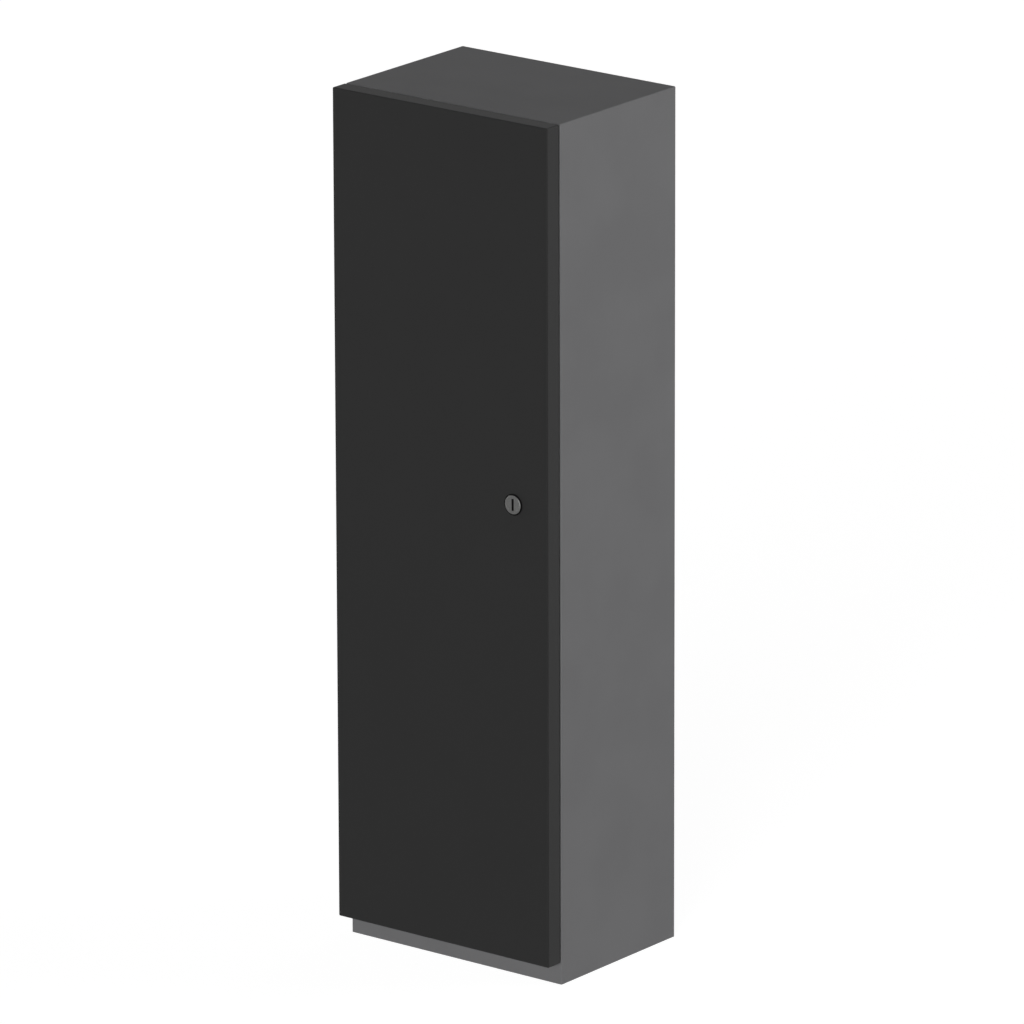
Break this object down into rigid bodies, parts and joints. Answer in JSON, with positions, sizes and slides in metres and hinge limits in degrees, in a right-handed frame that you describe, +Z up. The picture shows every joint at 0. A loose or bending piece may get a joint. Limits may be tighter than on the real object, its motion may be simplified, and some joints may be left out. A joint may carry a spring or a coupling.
{
  "type": "boom barrier cabinet",
  "caption": "Slim upright steel cabinet of a boom barrier, with a full-height locked door, spring balance, worm drive and rear boom flange; no boom.",
  "frame": {"origin": "on the ground, at the centre of the four foundation-bolt holes in the base plate", "axes": "+Z up, -Y to the front (the door), +Y to the rear, where the boom is bolted on, +X to the lock side"},
  "size_m": [0.302, 0.2693, 1],
  "materials": {
    "cabinet_paint": "anthracite-grey powder coat, fine texture, matt",
    "door_paint": "black powder coat, fine texture, matt",
    "zinc_plated_steel": "zinc-plated sheet and plate, satin",
    "machined_steel": "turned and ground steel, lightly oiled",
    "crank_paint": "black enamel on laser-cut steel",
    "spring_steel": "oil-tempered spring wire, dark",
    "fastener_zinc": "bright zinc-plated fasteners",
    "cast_aluminium": "die-cast aluminium, shot-blasted",
    "bearing_iron": "grey cast iron, painted",
    "lock_zinc": "die-cast zinc, dull",
    "bronze_wheel": "cut bronze gear rim",
    "black_rubber": "moulded rubber and foam, matt",
    "grey_plastic": "moulded ABS, fine spark texture",
    "black_plastic": "moulded polyamide, matt",
    "green_plastic": "moulded acetal",
    "red_plastic": "moulded acetal",
    "terminal_plastic": "moulded polyamide"
  },
  "bodies": {
    "root": {"cabinet_shell": "cabinet_paint", "base_plate": "zinc_plated_steel", "cable_guard": "black_rubber", "door_seal": "black_rubber", "hinge_leaves": "zinc_plated_steel", "hinge_pins": "machined_steel", "drive_plate": "zinc_plated_steel", "bearing_bridge": "zinc_plated_steel", "front_bearing": "bearing_iron", "rear_bearing": "bearing_iron", "bearing_bolts": "fastener_zinc", "shaft_cover": "cabinet_paint", "sensor_bracket": "zinc_plated_steel", "limit_sensors": "machined_steel", "stop_blocks": "zinc_plated_steel", "stop_buffers": "black_rubber", "gearbox_case": "cast_aluminium", "gearbox_cover": "cast_aluminium", "gearbox_screws": "fastener_zinc", "motor_body": "cast_aluminium", "motor_cap": "cast_aluminium", "anchor_pin": "machined_steel", "anchor_yoke": "machined_steel", "tension_nuts": "fastener_zinc", "spring_shelf": "zinc_plated_steel", "controller_case": "grey_plastic", "controller_lid": "grey_plastic", "power_supply": "zinc_plated_steel", "mounting_rail": "zinc_plated_steel", "circuit_breaker": "black_plastic", "terminal_blocks": "terminal_plastic"},
    "door": {"door_panel": "door_paint", "door_stiffener": "door_paint", "hinge_wings": "zinc_plated_steel", "lock_body": "lock_zinc", "lock_nut": "fastener_zinc"},
    "lock": {"lock_core": "lock_zinc", "lock_cam": "fastener_zinc"},
    "boom_shaft": {"main_shaft": "machined_steel", "boom_crank": "crank_paint", "spring_pin": "machined_steel", "upper_rod_pin": "machined_steel", "limit_disc": "machined_steel", "boom_flange": "machined_steel", "shaft_cap": "machined_steel"},
    "crank": {"output_shaft": "machined_steel", "worm_wheel": "bronze_wheel", "crank_arm": "crank_paint", "lower_rod_pin": "machined_steel"},
    "rod": {"lower_rod_end": "machined_steel", "upper_rod_end": "machined_steel", "drive_rod": "machined_steel", "rod_nuts": "fastener_zinc"},
    "rotor": {"worm_shaft": "machined_steel", "hand_wheel": "black_plastic"},
    "springs": {"front_spring": "spring_steel", "rear_spring": "spring_steel"},
    "toggle": {"breaker_toggle": "black_plastic"},
    "raise_key": {"raise_button": "green_plastic"},
    "lower_key": {"lower_button": "red_plastic"}
  },
  "joints": [
    {"name": "door_hinge", "type": "hinge", "parent": "root", "child": "door", "pos_m": [-0.1435, -0.1195, 0.51], "axis": [0, 0, -1], "range_deg": [0, 105]},
    {"name": "lock_turn", "type": "hinge", "parent": "door", "child": "lock", "pos_m": [0.103, -0.12, 0.561], "axis": [0, -1, 0], "range_deg": [0, 90]},
    {"name": "boom_turn", "type": "hinge", "parent": "root", "child": "boom_shaft", "pos_m": [0, 0.015, 0.86], "axis": [0, 1, 0], "range_deg": [0, 90], "deforming": ["front_spring", "rear_spring"]},
    {"name": "crank_turn", "type": "hinge", "parent": "root", "child": "crank", "pos_m": [-0.072, 0.015, 0.58], "axis": [0, 1, 0], "range_deg": [0, 90]},
    {"name": "rod_swing", "type": "hinge", "parent": "crank", "child": "rod", "pos_m": [-0.10736, -0.0025, 0.54465], "axis": [0, 1, 0], "range_deg": [-90, 0]},
    {"name": "rotor_turn", "type": "hinge", "parent": "root", "child": "rotor", "pos_m": [-0.034, 0.056, 0.45], "axis": [0, 0, 1], "range_deg": [0, 2700]},
    {"name": "spring_swing", "type": "hinge", "parent": "root", "child": "springs", "pos_m": [0.075, 0.015, 0.43], "axis": [0, 1, 0], "range_deg": [-11.94, 0]},
    {"name": "toggle_turn", "type": "hinge", "parent": "root", "child": "toggle", "pos_m": [0.056, 0.034, 0.082], "axis": [1, 0, 0], "range_deg": [0, 50]},
    {"name": "raise_press", "type": "slide", "parent": "root", "child": "raise_key", "axis": [0, 1, 0], "range_m": [0, 0.003], "stiffness_N_per_m": 400},
    {"name": "lower_press", "type": "slide", "parent": "root", "child": "lower_key", "axis": [0, 1, 0], "range_m": [0, 0.003], "stiffness_N_per_m": 400}
  ],
  "couplings": [
    {"joint": "crank_turn", "follows": "boom_turn", "ratio": 1},
    {"joint": "rod_swing", "follows": "boom_turn", "ratio": -1},
    {"joint": "rotor_turn", "follows": "boom_turn", "ratio": 30},
    {"joint": "spring_swing", "follows": "boom_turn", "ratio": -0.13255}
  ]
}
